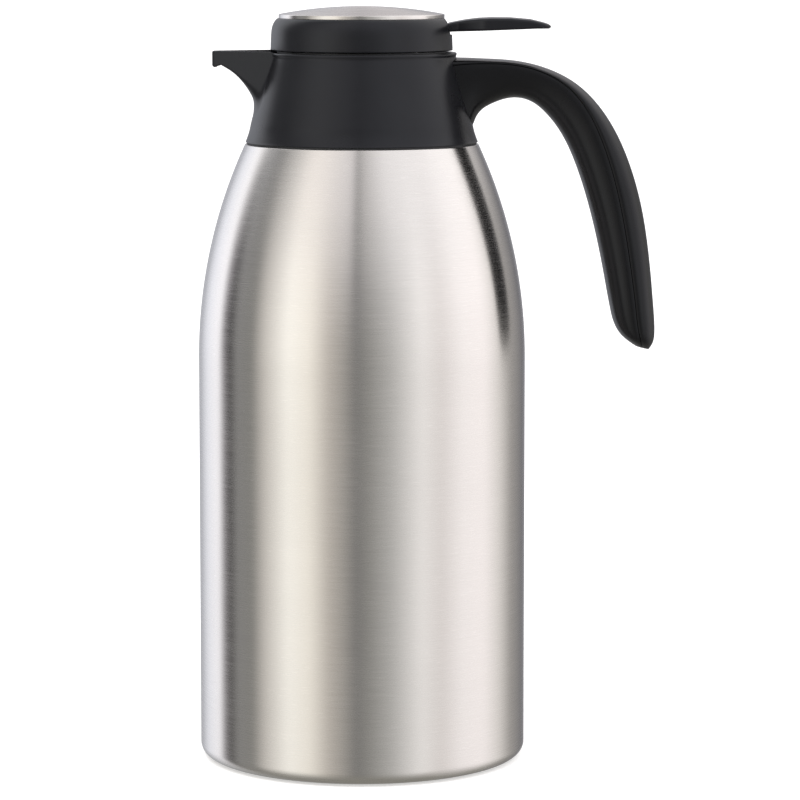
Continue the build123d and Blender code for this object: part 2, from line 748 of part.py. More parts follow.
def dome_outline(radius, bottom, rim, apex):
    """Half outline of an upright-edged disc with a domed top."""
    sphere = dome_radius(apex - rim, radius)
    return (
        Line((0, bottom), (radius, bottom)),
        Line((radius, bottom), (radius, rim)),
        RadiusArc((radius, rim), (0, apex), -sphere),
        Line((0, apex), (0, bottom)),
    )


def lid_disc():
    """Brushed steel disc: a shallow dome with a turned-down edge."""
    outside = turned(*dome_outline(DISC_R, LID_TOP, DISC_RIM, DISC_APEX))
    return outside - disc_pad()


def disc_pad():
    """Backing that fills the disc and bonds it to the cap."""
    return turned(*dome_outline(DISC_R - DISC_WALL, LID_TOP, DISC_RIM - DISC_WALL, DISC_APEX - DISC_WALL))


def lever_pin():
    return cross_rod(PIVOT_PIN_R, HUB_HALF + EAR_GAP + EAR_THICKNESS, PIVOT_X, PIVOT_Z)


# ---- lever
def thumb_plate():
    """Slightly hollow-backed thumb plate that narrows to a neck where it enters the lid."""
    top = Spline(*THUMB_TOP)
    rest = Polyline(THUMB_TOP[-1], *THUMB_TIP, *THUMB_UNDERSIDE, THUMB_TOP[0])
    side = side_prism([top, rest], LEVER_HALF)
    plan = FilletPolyline(
        (31.0, HUB_HALF),
        (THUMB_NECK_X, HUB_HALF),
        (THUMB_WIDE_X, LEVER_HALF),
        (LEVER_TIP_X, LEVER_HALF - 1.0),
        (LEVER_TIP_X, 1.0 - LEVER_HALF),
        (THUMB_WIDE_X, -LEVER_HALF),
        (THUMB_NECK_X, -HUB_HALF),
        (31.0, -HUB_HALF),
        radius=[0, 1.5, 4.0, 9.0, 9.0, 4.0, 1.5, 0],
        close=True,
    )
    plate = side & plan_prism(plan, (290, 302))
    return plate - rod(DISC_R + 0.8, (PIVOT_Z + HUB_R - 0.2, 302))


def lever_arm():
    """Arm inside the lid, from the pivot hub to the fork that lifts the valve stem."""
    outline = Polyline(*ARM_UNDERSIDE, *ARM_TOP, close=True)
    arm = side_prism([outline], ARM_HALF)
    fork_half = STEM_R + 0.8
    arm -= box((-5.0, FORK_END_X), (-fork_half, fork_half), (288, 295))
    pin_slot = (CROSS_PIN_Z - CROSS_PIN_R - 0.05, CROSS_PIN_Z + CROSS_PIN_R + 0.45)
    return arm - box(FORK_SLOT_X, (-7, 7), pin_slot)


def lever():
    body = thumb_plate() + lever_arm() + cross_rod(HUB_R, HUB_HALF, PIVOT_X, PIVOT_Z)
    return body - cross_rod(PIVOT_PIN_R + 0.08, 12, PIVOT_X, PIVOT_Z)


# ---- valve
def cross_pin():
    return cross_rod(CROSS_PIN_R, 5.6, 0, CROSS_PIN_Z)


def valve_stem():
    return rod(STEM_R, (SEAT_TOP + VALVE_SEAL_HEIGHT, STEM_TOP)) - cross_pin()


def valve_disc():
    low = SEAT_TOP + VALVE_SEAL_HEIGHT
    return ring(
        (STEM_R, low),
        (VALVE_R, low),
        (VALVE_R, low + 1.6),
        (6.5, VALVE_TOP),
        (STEM_R, VALVE_TOP),
    )


def valve_seal():
    low, high = SEAT_TOP, SEAT_TOP + VALVE_SEAL_HEIGHT
    inner, outer = VALVE_SEAL_R
    return ring((inner, low), (outer, low), (outer, high), (inner, high))


def valve_spring():
    """Closing spring between the guide bush and the valve disc."""
    low = VALVE_TOP + SPRING_WIRE_R
    height = GUIDE_BOTTOM - VALVE_TOP - 2 * SPRING_WIRE_R
    path = Helix(SPRING_PITCH, height, SPRING_R)
    start = Plane(origin=path @ 0, z_dir=path % 0)
    return Pos(0, 0, low) * sweep(start * Circle(SPRING_WIRE_R), path, is_frenet=True)


def all_parts():
    """Every sub-part by node name."""
    parts = {
        "outer_shell": outer_shell(),
        "shell_shoulder": shell_shoulder(),
        "shell_ledge": shell_ledge(),
        "outer_neck": outer_neck(),
        "base_cup": base_cup(),
        "inner_vessel": inner_vessel(),
        "inner_shoulder": inner_shoulder(),
        "inner_throat": inner_throat(),
        "inner_funnel": inner_funnel(),
        "inner_bottom": inner_bottom(),
        "inner_corner": inner_corner(),
        "inner_neck": inner_neck(),
        "radiation_foil": radiation_foil(),
        "getter": getter(),
        "vacuum_seal": vacuum_seal(),
        "base_cover": base_cover(),
        "foot_ring": foot_ring(),
        "neck_gasket": neck_gasket(),
        "neck_ring": neck_ring(),
        "shoulder_seal": shoulder_seal(),
        "collar": collar(),
        "handle_body": handle_body(),
        "handle_cover": handle_cover(),
        "stopper_seal": stopper_seal(),
        "stopper_body": stopper_body(),
        "valve_guide": valve_guide(),
        "stem_seal": stem_seal(),
        "lid_cap": lid_cap(),
        "lid_disc": lid_disc(),
        "disc_pad": disc_pad(),
        "lever_pin": lever_pin(),
        "lever": lever(),
        "cross_pin": cross_pin(),
        "valve_stem": valve_stem(),
        "valve_disc": valve_disc(),
        "valve_seal": valve_seal(),
        "valve_spring": valve_spring(),
    }
    for number, side in enumerate((-1, 1), start=1):
        parts[f"clamp_half_{number}"] = clamp_half(side)
        parts[f"handle_screw_{number}"] = handle_screw(side)
    for number, angle in enumerate(CLAMP_SCREW_ANGLES, start=1):
        parts[f"clamp_screw_{number}"] = clamp_screw(angle)
    for number, angle in enumerate(POST_ANGLES, start=1):
        parts[f"lid_screw_{number}"] = lid_screw(angle)
    return parts


os.makedirs("parts", exist_ok=True)
for name, solid in all_parts().items():
    export_step(solid, f"parts/{name}.step")
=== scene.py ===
"""Studio scene of a brushed steel vacuum carafe with a charcoal plastic collar, lid and handle."""

import json
import math

import bmesh
import bpy
import numpy as np
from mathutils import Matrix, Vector


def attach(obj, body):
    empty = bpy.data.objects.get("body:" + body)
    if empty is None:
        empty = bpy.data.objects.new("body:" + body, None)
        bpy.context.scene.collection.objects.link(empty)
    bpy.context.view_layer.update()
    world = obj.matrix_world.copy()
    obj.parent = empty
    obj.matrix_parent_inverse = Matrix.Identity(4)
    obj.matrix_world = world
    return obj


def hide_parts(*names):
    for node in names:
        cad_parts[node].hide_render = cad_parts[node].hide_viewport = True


MM = 0.001
SHARP_ANGLE = math.radians(38)

# ---- body, in millimetres
BODY_R = 66.0
BASE_ROUND = 5.0
SHELL_BOTTOM = 0.6
SHELL_WALL = 0.7
SHOULDER_START = 163.0
SHOULDER_ARC = 205.0
LEDGE_TOP = 249.3
NECK_HOLE_R = 26.5
BASE_OPENING_R = 54.0

# ---- collar and spout, in millimetres
COLLAR_FOOT_OUTSIDE = ((46.3, 250.0), (46.6, 250.1), (46.75, 250.35))
COLLAR_FOOT_INSIDE = ((43.0, 252.0), (42.7, 250.2), (43.0, 250.0))
COLLAR_FLARE = ((46.8, 250.0), (45.4, 254.0), (44.6, 257.5))
CONE_TOP = (37.9, 284.2)
LIP = ((37.95, 284.6), (38.1, 284.95), (38.2, 285.3), (38.15, 285.65), (38.0, 285.88), (37.75, 286.0))
COLLAR_WALL = 2.05
THROAT_R = 35.85
WEB_R = 34.9
WEB_BOTTOM = 272.9
WEB_TOP = 274.9
SPOUT_RISE = 0.6
SPOUT_TIP = 59.9
SPOUT_TIP_HALF = 3.9
SPOUT_SLOPE = 0.448
SPOUT_WALL = 2.0
KEEL = ((39.0, 257.6), (41.6, 262.5), (43.1, 266.8), (45.1, 270.9), (48.1, 275.0), (52.2, 278.7), (56.9, 281.4))
DRIP_LIP_LOW = 281.4
TIP_LOW = 282.2
TIP_HEIGHT = 3.8
TIP_LIP_INSETS = (0, 0, 0, 0.03, 0.15, 0.45)
DRIP_LIP = ((57.6, 280.6), (58.3, 280.2), (59.2, 280.2), (59.75, 280.6), (59.9, 281.2))
TROUGH = ((30.0, 275.2), (36.0, 275.4), (44.0, 277.0), (51.0, 279.9), (57.9, 284.6))
# softness of the keel's edges and of the crease beside it, at the upper and at the lower of the two heights
KEEL_BLEND = (1.2, 9.0)
CREASE_BLEND = (0.5, 3.0)
BLEND_HEIGHTS = (280.0, 264.0)

# ---- lid, disc and lever, in millimetres
LID_R = 36.6
LID_BOTTOM = 286.8
LID_TOP = 299.9
LID_WALL = 2.2
LID_SHOULDER = (
    (36.35, 293.2), (36.22, 294.6), (35.98, 296.0), (35.55, 297.3), (34.9, 298.5), (34.1, 299.4), (33.2, 299.82),
)
SLOT_HALF = 8.0
SLOT_FLOOR = 293.0
SLOT_BACK_R = 33.4
DISC_R = 33.3
DISC_RIM = 301.3
DISC_FOOT = 299.75
DISC_APEX = 304.5
DISC_WALL = 0.6
PIVOT = (29.0, 294.5)
HUB_R = 2.6
HUB_HALF = 7.5
THUMB_START = 4.6
THUMB_END = 75.7
THUMB_TIP_LENGTH = 9.5
# (x, half width, rounding) round the lever's plan, then (x, height) along its top and its underside
THUMB_PLAN = (
    (THUMB_START, 6.0, 0), (30.5, 6.0, 0.5), (32.0, 7.5, 0.5), (38.4, 7.5, 3.0), (49.0, 13.0, 8.0),
    (THUMB_END, 12.0, 9.0), (THUMB_END, 0, 0),
)
THUMB_TOP = (
    (THUMB_START, 293.0), (8.0, 293.2), (25.0, 296.3), (33.9, 296.8), (35.0, 297.8), (36.5, 298.1), (38.0, 298.4),
    (40.0, 298.8), (42.0, 299.2), (44.0, 299.5), (47.0, 299.85), (52.0, 300.05), (60.0, 300.0), (68.0, 299.3),
    (73.0, 298.1), (75.2, 297.4), (THUMB_END, 296.9),
)
THUMB_UNDERSIDE = (
    (THUMB_START, 289.4), (8.0, 289.4), (26.0, 291.9), (34.0, 294.3), (70.0, 295.7), (75.0, 295.7),
    (THUMB_END, 296.2),
)
PRONG_HALF = 1.35
PRONG_LOW, PRONG_HIGH = 289.4, 293.1
PRONG_OFFSET = 4.65

# ---- handle, in millimetres: (outer x, outer z), (inner x, inner z), width, share of the depth in the back cover
HANDLE_STATIONS = (
    ((36.0, 284.0), (42.4, 252.2), 25.0, 0.09),
    ((39.6, 283.9), (44.6, 256.6), 24.9, 0.09),
    ((43.4, 283.8), (46.3, 260.6), 24.8, 0.09),
    ((47.6, 283.6), (49.0, 263.6), 24.6, 0.09),
    ((52.0, 283.4), (52.6, 265.6), 24.4, 0.09),
    ((62.0, 282.6), (60.0, 267.8), 24.4, 0.10),
    ((73.2, 280.0), (67.5, 266.6), 24.6, 0.13),
    ((83.5, 275.3), (73.5, 262.2), 25.0, 0.18),
    ((92.6, 267.8), (79.6, 254.6), 25.4, 0.25),
    ((100.7, 256.8), (85.2, 243.4), 25.6, 0.33),
    ((107.6, 241.9), (90.3, 228.5), 25.6, 0.39),
    ((112.7, 224.2), (94.2, 213.6), 25.4, 0.43),
    ((116.0, 203.2), (97.4, 198.3), 25.0, 0.44),
    ((117.9, 183.0), (100.4, 182.5), 24.0, 0.44),
    ((118.4, 173.6), (102.8, 175.0), 22.0, 0.45),
    ((117.6, 168.6), (106.6, 170.4), 17.0, 0.46),
    ((116.2, 166.3), (110.4, 167.7), 9.0, 0.48),
)
HANDLE_SEAM = 0.3
HANDLE_ROWS = 150
HANDLE_FULLNESS = 2.25


# ---- mesh tools
def finish_mesh(name, points, faces, material, body, nodes):
    """Makes a piece from points in millimetres, with its normals outwards, and puts it on its CAD body."""
    mesh = bpy.data.meshes.new(name)
    mesh.from_pydata((np.asarray(points, float) * MM).tolist(), [], faces)
    shape = bmesh.new()
    shape.from_mesh(mesh)
    bmesh.ops.recalc_face_normals(shape, faces=shape.faces)
    shape.to_mesh(mesh)
    shape.free()
    mesh.shade_smooth()
    mesh.set_sharp_from_angle(angle=SHARP_ANGLE)
    mesh.materials.append(material)
    piece = bpy.data.objects.new(name, mesh)
    bpy.context.scene.collection.objects.link(piece)
    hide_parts(*nodes)
    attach(piece, body)
    return piece


def ring_faces(rows, columns, closed=True):
    """Quads of a grid that closes on itself along its columns, and along its rows too if it is closed."""
    last = rows if closed else rows - 1
    return [
        (
            i * columns + j,
            i * columns + (j + 1) % columns,
            (i + 1) % rows * columns + (j + 1) % columns,
            (i + 1) % rows * columns + j,
        )
        for i in range(last)
        for j in range(columns)
    ]


def rounded(corners, closed=True):
    """Outline through (x, y, rounding) corners: an arc at each rounding, and a holding point either side of it."""
    points = []
    for i, (x, y, radius) in enumerate(corners):
        here = np.array((x, y))
        if radius == 0 or (not closed and i in (0, len(corners) - 1)):
            points.append(here)
            continue
        before = np.array(corners[i - 1][:2]) - here
        after = np.array(corners[(i + 1) % len(corners)][:2]) - here
        room = min(np.linalg.norm(before), np.linalg.norm(after))
        before /= np.linalg.norm(before)
        after /= np.linalg.norm(after)
        half = math.acos(np.clip(before @ after, -1, 1)) / 2
        reach = min(radius / math.tan(half), 0.42 * room)
        hold = min(1.35 * reach + 0.1, 0.49 * room)
        middle = (before + after) / np.linalg.norm(before + after)
        centre = here + middle * reach / math.cos(half)
        start, end = here + before * reach - centre, here + after * reach - centre
        sweep = math.pi - 2 * half
        points.append(here + before * hold)
        for t in np.linspace(0, 1, max(4, int(2.5 * radius) + 1)):
            turn = start * math.sin((1 - t) * sweep) + end * math.sin(t * sweep)
            points.append(centre + turn / math.sin(sweep))
        points.append(here + after * hold)
    return points


def turned_points(outline, columns):
    """Points of an (r, z) outline turned round the axis, row by row."""
    angles = np.arange(columns) * 2 * math.pi / columns
    rows = [np.c_[r * np.cos(angles), r * np.sin(angles), np.full(columns, z)] for r, z in outline]
    return np.concatenate(rows)


def smooth_min(a, b, width):
    share = np.clip(0.5 + 0.5 * (b - a) / width, 0, 1)
    return b * (1 - share) + a * share - width * share * (1 - share)


def smooth_max(a, b, width):
    return -smooth_min(-a, -b, width)


def smooth_step(low, high, x):
    t = np.clip((x - low) / (high - low), 0, 1)
    return t * t * (3 - 2 * t)


def spline(knots, values, at):
    """Natural cubic spline through values at knots, read at other places."""
    knots, values = np.asarray(knots, float), np.asarray(values, float)
    step = np.diff(knots)
    count = len(knots)
    system = np.eye(count)
    right = np.zeros((count, *values.shape[1:]))
    slope = np.diff(values, axis=0) / step.reshape(-1, *[1] * (values.ndim - 1))
    for i in range(1, count - 1):
        system[i, i - 1 : i + 2] = step[i - 1], 2 * (step[i - 1] + step[i]), step[i]
        right[i] = 6 * (slope[i] - slope[i - 1])
    bend = np.linalg.solve(system, right)
    i = np.clip(np.searchsorted(knots, at) - 1, 0, count - 2)
    shape = (-1, *[1] * (values.ndim - 1))
    h, left, rest = (x.reshape(shape) for x in (step[i], at - knots[i], knots[i + 1] - at))
    ends = values[i] * rest / h + values[i + 1] * left / h
    cubic = bend[i] * (rest**3 / h - h * rest) + bend[i + 1] * (left**3 / h - h * left)
    return ends + cubic / 6


# ---- steel body
def shoulder(inset, count):
    """Corners up the body's shoulder, from its straight wall to the ledge."""
    radius = SHOULDER_ARC - inset
    end = math.asin((LEDGE_TOP - inset - SHOULDER_START) / radius)
    return [
        (BODY_R - SHOULDER_ARC + radius * math.cos(a), SHOULDER_START + radius * math.sin(a), 0)
        for a in np.linspace(0, end, count)
    ]


def steel_body(material):
    outside = shoulder(0, 56)
    outside[-1] = (*outside[-1][:2], 0.3)
    inner_r, inner_z = BODY_R - SHELL_WALL, SHELL_BOTTOM + SHELL_WALL
    corners = [(BASE_OPENING_R, SHELL_BOTTOM, 0.1), (BODY_R, SHELL_BOTTOM, BASE_ROUND)]
    corners += [(BODY_R, z, 0) for z in np.linspace(20, 145, 9)] + outside
    corners += [(NECK_HOLE_R, LEDGE_TOP, 0.1), (NECK_HOLE_R, LEDGE_TOP - SHELL_WALL, 0.1)]
    corners += shoulder(SHELL_WALL, 30)[::-1]
    corners += [(inner_r, inner_z, BASE_ROUND - SHELL_WALL), (BASE_OPENING_R, inner_z, 0.1)]
    outline = rounded(corners)
    columns = 360
    nodes = ("outer_shell", "shell_shoulder", "shell_ledge")
    points = turned_points(outline, columns)
    faces = ring_faces(len(outline), columns)
    finish_mesh("steel_body", points, faces, material, "flask", nodes)


# ---- collar
def collar_angles():
    """Angles round the collar from the spout's direction, closer together across the spout."""
    edge = math.radians(32)
    beak = np.linspace(-edge, edge, 180, endpoint=False)
    rest = np.linspace(edge, 2 * math.pi - edge, 230, endpoint=False)
    return np.r_[beak, rest]


def facet_radius(angle, inset):
    """Distance from the axis to the spout's flat side at an angle from the spout's direction."""
    side = np.abs(np.sin(angle)) + SPOUT_SLOPE * np.cos(angle)
    reach = SPOUT_TIP_HALF + SPOUT_SLOPE * SPOUT_TIP - inset * math.hypot(1, SPOUT_SLOPE)
    return np.where(side > 0.05, reach / np.maximum(side, 0.05), 1e3)


def beak_radius(angle, reach, inset, blend):
    """Outline of the spout's plan when it reaches a given distance, as a distance from the axis."""
    front = np.where(np.cos(angle) > 0.3, reach / np.maximum(np.cos(angle), 0.3), 1e3)
    found = smooth_min(facet_radius(angle, inset), front, blend)
    return np.where(np.cos(angle) > 0.5, found, 0)


def cone_radius(z):
    slope = (CONE_TOP[0] - COLLAR_FLARE[-1][0]) / (CONE_TOP[1] - COLLAR_FLARE[-1][1])
    return COLLAR_FLARE[-1][0] + slope * (z - COLLAR_FLARE[-1][1])


def collar_outer_rows():
    """(cone radius, height, spout reach, spout height) for each row up the collar's outside."""
    keel_x, keel_z = np.array(KEEL).T
    flare_r, flare_z = np.array(COLLAR_FLARE).T
    rows = [(r, z, 0, z) for r, z in COLLAR_FOOT_OUTSIDE]
    for z in np.arange(250.8, 281.3, 0.42):
        radius = np.interp(z, flare_z, flare_r)
        if z < flare_z[-1]:
            radius = spline(flare_z, flare_r, np.array([z]))[0]
        if z > flare_z[-1]:
            radius = cone_radius(z)
        reach = spline(keel_z, keel_x, np.array([z]))[0] if z > keel_z[0] else 0
        rows.append((radius, z, reach, z))
    for i, (reach, z) in enumerate(DRIP_LIP):
        height = DRIP_LIP_LOW + 0.12 * i
        rows.append((cone_radius(height), height, reach, z))
    for z in np.linspace(TIP_LOW, CONE_TOP[1], 5):
        rows.append((cone_radius(z), z, SPOUT_TIP, z + SPOUT_RISE * (z - TIP_LOW) / TIP_HEIGHT))
    for (radius, z), inset in zip(LIP, TIP_LIP_INSETS):
        rows.append((radius, z, SPOUT_TIP - inset, z + SPOUT_RISE))
    return rows


def collar_inner_rows():
    """(throat radius, height, trough reach, trough height) for each row down the collar's inside."""
    trough_x, trough_z = np.array(TROUGH).T
    rows = [(THROAT_R + 0.5, 286.0, 58.4, 286.0 + SPOUT_RISE), (THROAT_R + 0.15, 285.85, 58.05, 286.45)]
    for z in np.linspace(285.6, WEB_TOP + 0.35, 26):
        height = z + SPOUT_RISE * np.clip((z - 284.2) / 1.4, 0, 1)
        rows.append((THROAT_R, z, np.interp(height, trough_z, trough_x), height))
    for radius, z in ((WEB_R, WEB_TOP), (WEB_R, WEB_BOTTOM)):
        rows.append((radius, z, 0, z))
    for z in np.linspace(WEB_BOTTOM, COLLAR_FLARE[-1][1], 8):
        rows.append((cone_radius(z) - COLLAR_WALL, z, 0, z))
    rows += [(r, z, 0, z) for r, z in COLLAR_FOOT_INSIDE]
    return rows


def collar(material):
    """Collar and spout as one closed skin, outside and inside."""
    angles = collar_angles()
    points = []
    for rows, inset in ((collar_outer_rows(), 0), (collar_inner_rows(), SPOUT_WALL)):
        for radius, z, reach, beak_z in rows:
            lowness = 0 if inset else smooth_step(-BLEND_HEIGHTS[0], -BLEND_HEIGHTS[1], -z)
            keel_blend = KEEL_BLEND[0] + lowness * (KEEL_BLEND[1] - KEEL_BLEND[0])
            crease_blend = CREASE_BLEND[0] + lowness * (CREASE_BLEND[1] - CREASE_BLEND[0])
            beak = beak_radius(angles, reach, inset, keel_blend)
            distance = smooth_max(np.full(len(angles), radius), beak, crease_blend) if reach else radius
            distance = np.broadcast_to(distance, angles.shape)
            share = smooth_step(0.4, 2.0, distance - radius) if reach else 0
            if beak_z < z:
                across = np.abs(distance * np.sin(angles))
                share = share * (1 - smooth_step(SPOUT_TIP_HALF + 0.2, SPOUT_TIP_HALF + 1.6, across))
            height = z + (beak_z - z) * share
            height = np.broadcast_to(height, angles.shape)
            points.append(np.c_[-distance * np.cos(angles), -distance * np.sin(angles), height])
    faces = ring_faces(len(points), len(angles))
    points = np.concatenate(points)
    finish_mesh("collar", points, faces, material, "flask", ("collar",))


# ---- handle
def handle_path():
    """Outer point, inner point, width and cover share at even steps along the handle."""
    flat = np.array([(*outer, *inner, width, share) for outer, inner, width, share in HANDLE_STATIONS])
    middle = (flat[:, :2] + flat[:, 2:4]) / 2
    along = np.r_[0, np.cumsum(np.linalg.norm(np.diff(middle, axis=0), axis=1))]
    at = np.linspace(0, along[-1], HANDLE_ROWS)
    return spline(along, flat, at)


def half_section(across, depth, foot):
    """Half of an oval section above a seam line: (across, depth) points with its two feet rounded."""
    angles = np.linspace(0, math.pi, 41)
    power = 2 / HANDLE_FULLNESS
    y = across * np.sign(np.cos(angles)) * np.abs(np.cos(angles)) ** power
    rise = depth * np.sin(angles) ** power
    points = np.c_[y, rise]
    floor = foot * np.exp(-rise / foot) * 0.9
    points[:, 0] -= np.sign(y) * floor * (np.abs(y) > 0.6 * across)
    base = np.c_[np.linspace(-0.8, 0.8, 9) * across, np.full(9, -0.55 * HANDLE_SEAM)]
    return np.concatenate([points, base])


def handle_piece(name, is_cover, material, nodes):
    """One side of the handle along its seam: the back cover or the inner body."""
    rows = []
    for outer_x, outer_z, inner_x, inner_z, width, share in handle_path():
        outer, inner = np.array((outer_x, outer_z)), np.array((inner_x, inner_z))
        depth = np.linalg.norm(inner - outer)
        inward = (inner - outer) / depth
        gap = HANDLE_SEAM / 2
        seam = outer + inward * (share * depth + (-gap if is_cover else gap))
        reach = share * depth - gap if is_cover else (1 - share) * depth - gap
        section = half_section(width / 2, reach, min(0.35, 0.3 * reach))
        side = -inward if is_cover else inward
        x = seam[0] + section[:, 1] * side[0]
        z = seam[1] + section[:, 1] * side[1]
        rows.append(np.c_[x, section[:, 0], z])
    columns = len(rows[0])
    faces = ring_faces(len(rows), columns, closed=False)
    faces += [tuple(range(columns)), tuple(range((len(rows) - 1) * columns, len(rows) * columns))]
    finish_mesh(name, np.concatenate(rows), faces, material, "flask", nodes)


# ---- lid
def lid_outline(is_slot):
    """Outline of the lid cap's wall; across the lever's slot its shoulder is cut away down to the slot's floor."""
    heights = np.linspace(0, len(LID_SHOULDER) - 1, 19)
    round_edge = spline(np.arange(len(LID_SHOULDER)), LID_SHOULDER, heights)
    top = [(r, z, 0) for r, z in round_edge] + [(SLOT_BACK_R - 2.0, LID_TOP, 0)]
    inside = [(SLOT_BACK_R - 2.0, LID_TOP - LID_WALL, 0), (LID_R - LID_WALL, LID_TOP - LID_WALL, 0.8)]
    corners = [(LID_R - LID_WALL, LID_BOTTOM, 0.15), (LID_R, LID_BOTTOM, 0.4), *top, *inside]
    outline = np.array(rounded(corners))
    if is_slot:
        r, z = outline.T
        outline[:, 1] = np.where(r > SLOT_BACK_R - 0.6, np.minimum(z, SLOT_FLOOR), z)
    return outline


def lid_cap(material):
    """Wall and rounded shoulder of the cap, with the lever's slot cut through; the disc covers its open top."""
    step = math.asin(SLOT_HALF / LID_R)
    rim = 0.012
    slot = [-step, -step + rim, *np.linspace(-step + 0.04, step - 0.04, 13), step - rim, step]
    rest = np.linspace(step + rim, 2 * math.pi - step - rim, 260)
    plain, cut = lid_outline(False), lid_outline(True)
    angles = np.r_[slot, rest]
    is_cut = np.r_[[0, *[1] * (len(slot) - 2), 0], np.zeros(len(rest))]
    points = []
    for (r, z), (_, cut_z) in zip(plain, cut):
        height = z + (cut_z - z) * is_cut
        points.append(np.c_[r * np.cos(angles), r * np.sin(angles), height])
    columns = len(angles)
    faces = ring_faces(len(points), columns)
    points = np.concatenate(points)
    finish_mesh("lid_cap", points, faces, material, "lid", ("lid_cap",))


def dome(radius, low, rim, apex, count):
    """Corners of a shallow dome's outline from its foot to just short of its middle."""
    sphere = (radius**2 + (apex - rim) ** 2) / (2 * (apex - rim))
    radii = np.linspace(radius, 0.4, count)
    rise = [(r, apex - sphere + math.sqrt(sphere**2 - r * r), 0) for r in radii]
    rise[0] = (*rise[0][:2], 0.35)
    return [(radius, low, 0.1), *rise]


def lid_disc(material):
    """Pressed steel disc: a shallow dome with a turned-down edge, closed underneath."""
    outside = dome(DISC_R, DISC_FOOT, DISC_RIM, DISC_APEX, 40)
    inside = dome(DISC_R - DISC_WALL, DISC_FOOT, DISC_RIM - DISC_WALL, DISC_APEX - DISC_WALL, 14)
    outline = rounded(outside + inside[::-1])
    columns = 256
    points = turned_points(outline, columns)
    faces = ring_faces(len(outline), columns)
    radii = np.array([r for r, _ in outline])
    inner_rows = [i for i in range(len(outline)) if radii[i] < 0.5]
    top, under = inner_rows[0], inner_rows[-1]
    faces = [f for f in faces if not (f[0] // columns == top and f[3] // columns == under)]
    faces += [tuple(range(row * columns, (row + 1) * columns)) for row in (top, under)]
    finish_mesh("lid_disc", points, faces, material, "lid", ("lid_disc",))


# ---- lever
def lever_section(half, low, high, crown):
    """Rounded bar section: (across, height) points, with a slightly crowned top."""
    edge = min(0.9, 0.42 * (high - low), 0.6 * half)
    corners = [(-half, low, edge), (half, low, edge), (half, high, edge), (-half, high, edge)]
    section = np.array(rounded(corners))
    top = section[:, 1] > (low + high) / 2
    section[:, 1] -= np.where(top, crown * (section[:, 0] / max(half, 1)) ** 2, 0)
    return section


def bar(stations):
    """Closed bar along X through (x, half width, low, high, crown) stations: its points and faces."""
    rows = [np.c_[np.full(len(s), x), s] for x, *size in stations for s in [lever_section(*size)]]
    columns = len(rows[0])
    faces = ring_faces(len(rows), columns, closed=False)
    faces += [tuple(range(columns)), tuple(range((len(rows) - 1) * columns, len(rows) * columns))]
    return np.concatenate(rows), faces


def thumb_stations():
    """Sizes along the lever from its fork inside the lid to its tip."""
    outline = np.array(rounded(THUMB_PLAN, closed=False))
    arm = np.r_[np.linspace(THUMB_START, 30, 12), np.linspace(31, 33.9, 6), 34.05, 34.25, 34.5]
    end = THUMB_END - THUMB_TIP_LENGTH * (1 - np.sin(np.linspace(0.05, math.pi / 2, 30)))
    places = np.r_[arm, np.linspace(34.8, 66, 60), end]
    stations = []
    for x in places:
        half = np.interp(x, outline[:, 0], outline[:, 1])
        crown = 0.25 * smooth_step(38, 46, x)
        z_top, z_low = (np.interp(x, *np.array(line).T) for line in (THUMB_TOP, THUMB_UNDERSIDE))
        stations.append((x, max(half, 2.0), z_low, z_top, crown))
    return stations


def lever(material):
    """Thumb lever: paddle, arm, the two prongs of its fork, and its pivot hub."""
    shells = [bar(thumb_stations())]
    for side in (-1, 1):
        points, faces = bar([(x, PRONG_HALF, PRONG_LOW, PRONG_HIGH, 0) for x in (-3.6, 0.0, 4.0, 5.2)])
        shells.append((points + (0, side * PRONG_OFFSET, 0), faces))
    hub_corners = [(0.3, -HUB_HALF, 0), (HUB_R, -HUB_HALF, 0.3), (HUB_R, HUB_HALF, 0.3), (0.3, HUB_HALF, 0)]
    hub = np.array(rounded(hub_corners, closed=False))
    turned = turned_points(hub, 48)
    place = np.c_[turned[:, 0] + PIVOT[0], turned[:, 2], turned[:, 1] + PIVOT[1]]
    hub_faces = ring_faces(len(hub), 48, closed=False)
    hub_faces += [tuple(range(48)), tuple(range((len(hub) - 1) * 48, len(hub) * 48))]
    shells.append((place, hub_faces))
    points, faces, start = [], [], 0
    for shell, shell_faces in shells:
        points.append(shell)
        faces += [tuple(start + v for v in face) for face in shell_faces]
        start += len(shell)
    finish_mesh("thumb_lever", np.concatenate(points), faces, material, "lever", ("lever",))


# ---- materials
def node(tree, kind, sockets=None, **settings):
    """A shader node with its settings, and with values or links on its input sockets."""
    made = tree.nodes.new(kind)
    for name, value in settings.items():
        setattr(made, name, value)
    for name, value in (sockets or {}).items():
        if isinstance(value, bpy.types.NodeSocket):
            tree.links.new(value, made.inputs[name])
        else:
            made.inputs[name].default_value = value
    return made


def new_material(name, **values):
    """A material with one Principled shader: (tree, shader)."""
    material = bpy.data.materials.new(name)
    material.use_nodes = True
    tree = material.node_tree
    shader = tree.nodes["Principled BSDF"]
    for socket, value in values.items():
        shader.inputs[socket.replace("_", " ")].default_value = value
    return material, tree, shader


def noise(tree, vector, scale, detail=3.0, roughness=0.55):
    """Noise value over a vector stretched by a scale of its own along each axis."""
    stretched = node(tree, "ShaderNodeVectorMath", {0: vector, 1: scale}, operation="MULTIPLY").outputs[0]
    sockets = {"Vector": stretched, "Scale": 1.0, "Detail": detail, "Roughness": roughness}
    return node(tree, "ShaderNodeTexNoise", sockets).outputs[0]


def spread(tree, value, low, high, start, end):
    """Maps a value's range to another."""
    sockets = {"Value": value, "From Min": low, "From Max": high, "To Min": start, "To Max": end}
    return node(tree, "ShaderNodeMapRange", sockets).outputs[0]


